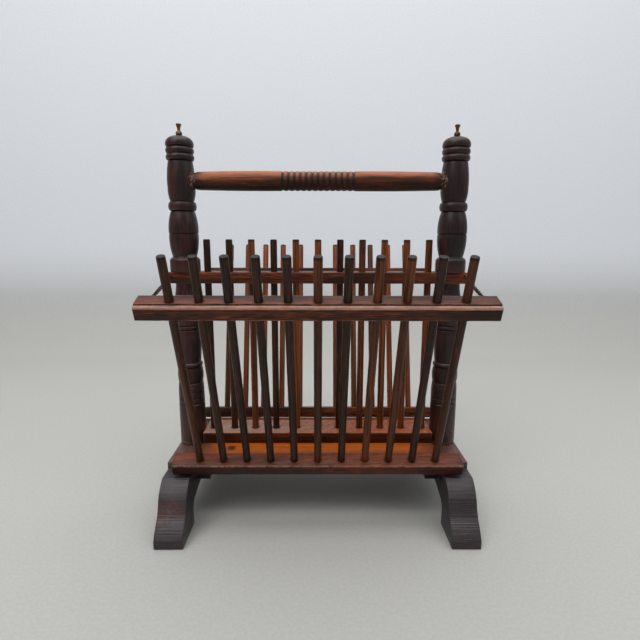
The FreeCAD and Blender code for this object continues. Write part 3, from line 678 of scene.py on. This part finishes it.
def cut_lengths(piece, axis, low, high, step):
    """Bisect the whole piece square to an axis at even stations."""
    edit(piece)
    count = max(1, round((high - low) / step))
    normal = tuple(1.0 if name == axis else 0.0 for name in "XYZ")
    for number in range(1, count):
        bpy.ops.mesh.select_all(action="SELECT")
        station = low + (high - low) * number / count
        place = tuple(station * value for value in normal)
        bpy.ops.mesh.bisect(plane_co=place, plane_no=normal)
    leave_edit()


def add_modifier(piece, kind, **settings):
    pick_none()
    bpy.context.view_layer.objects.active = piece
    piece.select_set(True)
    modifier = piece.modifiers.new(kind.lower(), kind)
    for name, value in settings.items():
        setattr(modifier, name, value)
    bpy.ops.object.modifier_apply(modifier=modifier.name)


def wander_texture(size):
    name = "wander_%d" % round(size / MM)
    texture = bpy.data.textures.get(name) or bpy.data.textures.new(name, "CLOUDS")
    texture.noise_scale = size
    texture.noise_depth = 2
    return texture


def wear_in(piece, edge, sway, size=14 * MM):
    """Round the edges, then let the faces wander a little as planed and handled wood does."""
    add_modifier(piece, "BEVEL", width=edge, segments=3, limit_method="ANGLE",
                 angle_limit=math.radians(25))
    add_modifier(piece, "DISPLACE", texture=wander_texture(size), strength=sway,
                 mid_level=1.0, texture_coords="LOCAL")
    smooth(piece)


def smooth(piece, angle=math.radians(40)):
    pick_none()
    bpy.context.view_layer.objects.active = piece
    piece.select_set(True)
    bpy.ops.object.shade_smooth_by_angle(angle=angle)


def draw_line(name, points):
    """Line through points, drawn edge by edge and left open for editing."""
    pick_none()
    bpy.ops.mesh.primitive_plane_add(size=MM, location=points[0])
    piece = bpy.context.object
    piece.name = piece.data.name = name
    bpy.ops.object.transform_apply(location=True)
    edit(piece)
    bpy.ops.mesh.select_all(action="SELECT")
    bpy.ops.mesh.merge(type="CENTER")
    for start, end in zip(points, points[1:]):
        step = tuple(b - a for a, b in zip(start, end))
        bpy.ops.mesh.extrude_region_move(TRANSFORM_OT_translate={"value": step})
    bpy.ops.mesh.select_all(action="SELECT")
    return piece


def sweep_along_x(length):
    """Draw all that is selected out along X, point the faces outwards and leave editing."""
    bpy.ops.mesh.extrude_region_move(TRANSFORM_OT_translate={"value": (length, 0, 0)})
    bpy.ops.mesh.select_all(action="SELECT")
    bpy.ops.mesh.normals_make_consistent(inside=False)
    leave_edit()


def saw_board(name, points, thickness):
    """Board sawn to the outline, thick along +X."""
    piece = draw_line(name, points)
    bpy.ops.mesh.edge_face_add()
    bpy.ops.mesh.select_all(action="SELECT")
    sweep_along_x(thickness)
    return piece


def settle(piece, placement):
    """Carry the piece to its place, leaving its object at the origin."""
    pick_none()
    bpy.context.view_layer.objects.active = piece
    piece.select_set(True)
    piece.matrix_world = placement
    bpy.ops.object.transform_apply(location=True, rotation=True, scale=True)


def finish_piece(piece, body, nodes, finish):
    """Give the finish, and let the piece ride in place of its CAD nodes."""
    piece.data.materials.clear()
    piece.data.materials.append(finish)
    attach(piece, body)
    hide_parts(*nodes)


def panel_place(side):
    return Matrix.Translation(joint_place(side)) @ Euler(panel_turn(side)).to_matrix().to_4x4()


# ---------------------------------------------------------------- sawn pieces

BAR = {"gap": 2.2, "lift": 0.8, "depth": 19.3, "thickness": 14.0}
RAIL = {"top": 211.9, "thickness": 14.5, "bead": 3.6, "groove": 0.9}
PANEL_HALF = 156.5
FOOT_HALF = [(66.6, 27.0), (74.6, 18.0), (74.6, 0.0), (119.4, 0.0), (119.4, 9.0), (106.2, 25.4),
             (99.1, 41.7), (82.1, 59.4), (63.2, 59.4), (63.2, 67.2)]
FOOT_ARCS = {1: -10.0, 5: 60.0, 6: -48.0, 7: 42.0}
FOOT_ARCH = 240.0
FOOT_MIDDLE = 6.6
FOOT_THICKNESS = 30.4
ARC_STEPS = 8
STATION = 6 * MM


def arc_points(start, end, radius):
    """Points after start up to end on an arc; a positive radius bulges right of the way."""
    a, b = Vector(start), Vector(end)
    chord = b - a
    across = Vector((chord.y, -chord.x)).normalized()
    side = 1 if radius > 0 else -1
    centre = (a + b) / 2 - across * side * math.sqrt(radius ** 2 - chord.length ** 2 / 4)
    first = a - centre
    turn = first.angle_signed(b - centre)
    return [centre + Matrix.Rotation(-turn * step / ARC_STEPS, 2) @ first
            for step in range(1, ARC_STEPS + 1)]


def foot_outline():
    """Outline of a foot, anticlockwise as seen from +X, from one arch spring to the other."""
    half = [Vector(FOOT_HALF[0])]
    for number, point in enumerate(FOOT_HALF[1:], 1):
        if number in FOOT_ARCS:
            half += arc_points(half[-1], point, FOOT_ARCS[number])
        else:
            half.append(Vector(point))
    mirrored = [Vector((-point.x, point.y)) for point in reversed(half)]
    arch = arc_points(mirrored[-1], half[0], -FOOT_ARCH)[:-1]
    return half + mirrored + arch


def build_feet(finishes):
    middle = POST_Y / MM + FOOT_MIDDLE
    for side, way in (("left", -1), ("right", 1)):
        near = way * POST_X - FOOT_THICKNESS * MM / 2
        points = [(near, (middle + p.x) * MM, p.y * MM) for p in foot_outline()]
        piece = saw_board(side + "_foot_sawn", points, FOOT_THICKNESS * MM)
        wear_in(piece, sizes().worn_edge * 1.2, sizes().waviness)
        finish_piece(piece, "frame", [side + "_foot"], finishes["foot_wood"])


def build_board(node, slot, finishes, edge=1.0):
    """Board planed to the box of its CAD node."""
    low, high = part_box(node)
    piece = start_block(node + "_planed", low, high)
    cut_lengths(piece, "X", low.x, high.x, STATION)
    wear_in(piece, sizes().worn_edge * edge, sizes().waviness)
    finish_piece(piece, "frame", [node], finishes[slot])


def build_bar(side, finishes):
    """Bottom bar of a panel, drawn in the panel's own frame."""
    low = (-PANEL_HALF * MM, BAR["gap"] * MM, BAR["lift"] * MM)
    high = (PANEL_HALF * MM, (BAR["gap"] + BAR["depth"]) * MM,
            (BAR["lift"] + BAR["thickness"]) * MM)
    piece = start_block(side + "_bottom_bar_planed", low, high)
    cut_lengths(piece, "X", low[0], high[0], STATION)
    wear_in(piece, sizes().worn_edge * 1.7, sizes().waviness)
    settle(piece, panel_place(side))
    finish_piece(piece, side + "_panel", [side + "_bottom_bar"],
                 finishes[side + "_rail_wood"])


def build_rail(side, finishes):
    """Top rail of a panel, with a groove that sets off the bead on its outer edge."""
    inner, outer = BAR["gap"], BAR["gap"] + BAR["depth"]
    high = RAIL["top"]
    low = high - RAIL["thickness"]
    bead, groove = RAIL["bead"], RAIL["groove"]
    valley = high - 1.7 * groove
    section = [(inner, low), (outer, low), (outer, high - bead),
               (outer - 0.3 * bead, high - 0.45 * bead), (outer - 0.82 * bead, high - groove),
               (outer - bead, valley), (outer - bead - 0.4 * groove, valley),
               (outer - bead - groove, high), (inner, high)]
    points = [(-PANEL_HALF * MM, y * MM, z * MM) for y, z in section]
    piece = saw_board(side + "_top_rail_moulded", points, 2 * PANEL_HALF * MM)
    cut_lengths(piece, "X", -PANEL_HALF * MM, PANEL_HALF * MM, STATION)
    wear_in(piece, 0.35 * MM, sizes().waviness)
    settle(piece, panel_place(side))
    finish_piece(piece, side + "_panel", [side + "_top_rail"],
                 finishes[side + "_rail_wood"])


# ---------------------------------------------------------------- dowels

DOWEL_RADIUS = 4.0
DOWEL_FOOT = 4.8
DOWEL_LENGTH = {"front": 248.9, "back": 243.4}


def dowel_stock(name, height):
    """One dowel standing on the origin with rubbed ends."""
    pick_none()
    bpy.ops.mesh.primitive_cylinder_add(vertices=24, radius=DOWEL_RADIUS * MM, depth=height,
                                        location=(0, 0, height / 2))
    piece = bpy.context.object
    piece.name = piece.data.name = name
    bpy.ops.object.transform_apply(location=True)
    cut_lengths(piece, "Z", 0, height, 2 * STATION)
    add_modifier(piece, "BEVEL", width=sizes().dowel_tip, segments=2, limit_method="ANGLE",
                 angle_limit=math.radians(60))
    return piece


def build_dowel_row(side, body, slot, place, bottom, height, outward, finishes):
    """Eleven dowels copied from one, each with its own slight bow."""
    stock = dowel_stock(side + "_dowel_stock", height)
    for number in DOWELS:
        piece = stock.copy()
        piece.data = stock.data.copy()
        piece.name = piece.data.name = "%s_dowel_%02d_turned" % (side, number)
        bpy.context.scene.collection.objects.link(piece)
        way = -1 if side == "front" else 1
        local = Matrix.Translation(((number - MIDDLE_DOWEL) * PITCH * way, outward, bottom))
        settle(piece, place @ local)
        add_modifier(piece, "DISPLACE", texture=wander_texture(9 * MM),
                     strength=0.25 * MM, mid_level=1.0, texture_coords="LOCAL")
        smooth(piece)
        finish_piece(piece, body, ["%s_dowel_%02d" % (side, number)], finishes[slot])
    bpy.data.objects.remove(stock)


# ---------------------------------------------------------------- operators

class Finishes:
    """The rack's materials, made once."""
    made = {}


def finishes():
    if not Finishes.made:
        Finishes.made = materials()
    return Finishes.made


def coat_nodes(names, slot):
    """Give CAD nodes whose shape is right their finish."""
    for name in names:
        node = frame["nodes"][name]
        node.data.materials.clear()
        node.data.materials.append(finishes()[slot])


class RACK_OT_feet(bpy.types.Operator):
    """Saw the two scrolled feet"""
    bl_idname = "rack.feet"
    bl_label = "Feet"
    bl_options = {"REGISTER", "UNDO"}

    def execute(self, context):
        build_feet(finishes())
        return {"FINISHED"}


class RACK_OT_boards(bpy.types.Operator):
    """Plane the base board and the centre board, and stain the cleats"""
    bl_idname = "rack.boards"
    bl_label = "Boards"
    bl_options = {"REGISTER", "UNDO"}

    def execute(self, context):
        build_board("base_board", "board_wood", finishes())
        build_board("centre_board", "centre_board_wood", finishes(), edge=1.4)
        coat_nodes(["base_cleats"], "cleat_wood")
        return {"FINISHED"}


class RACK_OT_posts(bpy.types.Operator):
    """Stain the turned posts and darken the finials"""
    bl_idname = "rack.posts"
    bl_label = "Posts and finials"
    bl_options = {"REGISTER", "UNDO"}

    def execute(self, context):
        for side in ("left", "right"):
            coat_nodes([side + "_lower_post", side + "_upper_post"], "dark_wood")
            coat_nodes([side + "_finial"], "finial_brass")
        return {"FINISHED"}


class RACK_OT_handle(bpy.types.Operator):
    """Stain and wear the beaded handle"""
    bl_idname = "rack.handle"
    bl_label = "Handle"
    bl_options = {"REGISTER", "UNDO"}

    def execute(self, context):
        coat_nodes(["handle"], "handle_wood")
        return {"FINISHED"}


class RACK_OT_rails(bpy.types.Operator):
    """Plane the centre rail and the rails and bars of the panels"""
    bl_idname = "rack.rails"
    bl_label = "Rails and bars"
    bl_options = {"REGISTER", "UNDO"}

    def execute(self, context):
        build_board("centre_rail", "rail_wood", finishes())
        for side in SIDES:
            build_bar(side, finishes())
            build_rail(side, finishes())
        return {"FINISHED"}


class RACK_OT_dowels(bpy.types.Operator):
    """Turn the three rows of dowels"""
    bl_idname = "rack.dowels"
    bl_label = "Dowels"
    bl_options = {"REGISTER", "UNDO"}

    def execute(self, context):
        low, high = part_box("centre_dowel_01")
        build_dowel_row("centre", "frame", "centre_dowel_wood", Matrix.Translation((0, POST_Y, 0)),
                        low.z, high.z - low.z, 0, finishes())
        outward = (BAR["gap"] + BAR["depth"] / 2) * MM
        for side, height in DOWEL_LENGTH.items():
            build_dowel_row(side, side + "_panel", side + "_dowel_wood", panel_place(side),
                            DOWEL_FOOT * MM, height * MM, outward, finishes())
        return {"FINISHED"}


class RACK_OT_metalwork(bpy.types.Operator):
    """Darken the chains, the screw eyes and the hinges"""
    bl_idname = "rack.metalwork"
    bl_label = "Metalwork"
    bl_options = {"REGISTER", "UNDO"}

    def execute(self, context):
        for side in SIDES:
            coat_nodes([side + "_upper_chains", side + "_lower_chains"], "chain_steel")
            coat_nodes([side + "_rail_eyes"], "eye_steel")
            coat_nodes([side + "_hinge_leaves"], "hinge_steel")
        coat_nodes(["centre_rail_eyes"], "eye_steel")
        coat_nodes(["fixed_hinge_leaves"], "hinge_steel")
        return {"FINISHED"}


class RACK_OT_stage(bpy.types.Operator):
    """Set the floor, the backdrop, the lights and the camera"""
    bl_idname = "rack.stage"
    bl_label = "Stage"
    bl_options = {"REGISTER", "UNDO"}

    def execute(self, context):
        build_floor()
        build_lights()
        build_camera()
        return {"FINISHED"}


# ---------------------------------------------------------------- stage

CAMERA_PLACE = (-0.00015, -0.5283, 0.3157)
CAMERA_PITCH = math.radians(10.39)
CAMERA_YAW = math.radians(-0.25)
CAMERA_ROLL = math.radians(-0.13)
CAMERA_LENS = 25.875
SENSOR = 36.0
FLOOR_HALF = 3.0
WALL_Y = 0.75
WALL_HEIGHT = 3.0
SWEEP = 0.15
SKY_COLOUR = (0.93, 0.96, 1.0, 1)
SKY_STRENGTH = 0.28
LIGHTS_AIM = (0, 0, 0.2)
# Name, place, size and power of each lamp.
LIGHTS = (("key", (-1.0, -1.3, 1.9), 1.4, 15),
          ("fill", (1.6, -0.7, 1.4), 1.2, 5),
          ("top", (0.0, -0.1, 2.3), 2.6, 56))


def build_floor():
    """Floor that sweeps up into a wall behind the rack."""
    sweep = [(FLOOR_HALF, -FLOOR_HALF, 0), (FLOOR_HALF, WALL_Y - SWEEP, 0)]
    for step in range(1, ARC_STEPS + 1):
        angle = math.pi / 2 * step / ARC_STEPS
        sweep.append((FLOOR_HALF, WALL_Y - SWEEP + SWEEP * math.sin(angle),
                      SWEEP - SWEEP * math.cos(angle)))
    sweep.append((FLOOR_HALF, WALL_Y, WALL_HEIGHT))
    floor = draw_line("floor", sweep)
    sweep_along_x(-2 * FLOOR_HALF)
    smooth(floor)
    shader = Shader("pale_floor")
    speck = shader.noise(shader.coordinates(), 300, 2)
    height = shader.axes(shader.coordinates())[2]
    pale = shader.blend(height.rise(0.02, 0.30), hue("floor"), hue("wall"))
    paint = shader.blend(speck.rise(0.3, 0.7) * 0.07, pale, (0, 0, 0))
    floor.data.materials.append(shader.surface(Base_Color=paint, Roughness=0.85))


def build_lights():
    """Soft sky with a wide lamp above and two smaller ones in front."""
    world = bpy.data.worlds.new("soft_sky")
    bpy.context.scene.world = world
    world.use_nodes = True
    background = world.node_tree.nodes["Background"]
    background.inputs["Color"].default_value = SKY_COLOUR
    background.inputs["Strength"].default_value = SKY_STRENGTH
    for name, place, size, power in LIGHTS:
        light = bpy.data.lights.new(name, "AREA")
        light.energy = power
        light.size = size
        lamp = bpy.data.objects.new(name, light)
        lamp.location = place
        aim = Vector(LIGHTS_AIM) - Vector(place)
        lamp.rotation_euler = aim.to_track_quat("-Z", "Y").to_euler()
        bpy.context.scene.collection.objects.link(lamp)


def build_camera():
    """Camera in front of the rack and a little above its middle."""
    data = bpy.data.cameras.new("view")
    data.lens = CAMERA_LENS
    data.sensor_width = SENSOR
    camera = bpy.data.objects.new("view", data)
    camera.location = CAMERA_PLACE
    camera.rotation_euler = (math.pi / 2 - CAMERA_PITCH, CAMERA_ROLL, CAMERA_YAW)
    bpy.context.scene.collection.objects.link(camera)
    bpy.context.scene.camera = camera


# ---------------------------------------------------------------- panel and run

class RACK_PT_panel(bpy.types.Panel):
    """The rack's makers in the sidebar"""
    bl_label = "Magazine rack"
    bl_space_type = "VIEW_3D"
    bl_region_type = "UI"
    bl_category = "Rack"

    def draw(self, context):
        for maker in MAKERS:
            self.layout.operator(maker.bl_idname)


MAKERS = (RACK_OT_feet, RACK_OT_boards, RACK_OT_posts, RACK_OT_handle, RACK_OT_rails,
          RACK_OT_dowels, RACK_OT_metalwork, RACK_OT_stage)
CLASSES = (RackSizes, RackColours, *MAKERS, RACK_PT_panel)


def register():
    for item in CLASSES:
        bpy.utils.register_class(item)
    bpy.types.Scene.rack_sizes = bpy.props.PointerProperty(type=RackSizes)
    bpy.types.Scene.rack_colours = bpy.props.PointerProperty(type=RackColours)


def unregister():
    del bpy.types.Scene.rack_colours
    del bpy.types.Scene.rack_sizes
    for item in reversed(CLASSES):
        bpy.utils.unregister_class(item)


def main():
    register()
    bpy.context.scene.view_settings.view_transform = "Standard"
    for maker in MAKERS:
        group, name = maker.bl_idname.split(".")
        getattr(getattr(bpy.ops, group), name)()


if __name__ == "__main__":
    main()
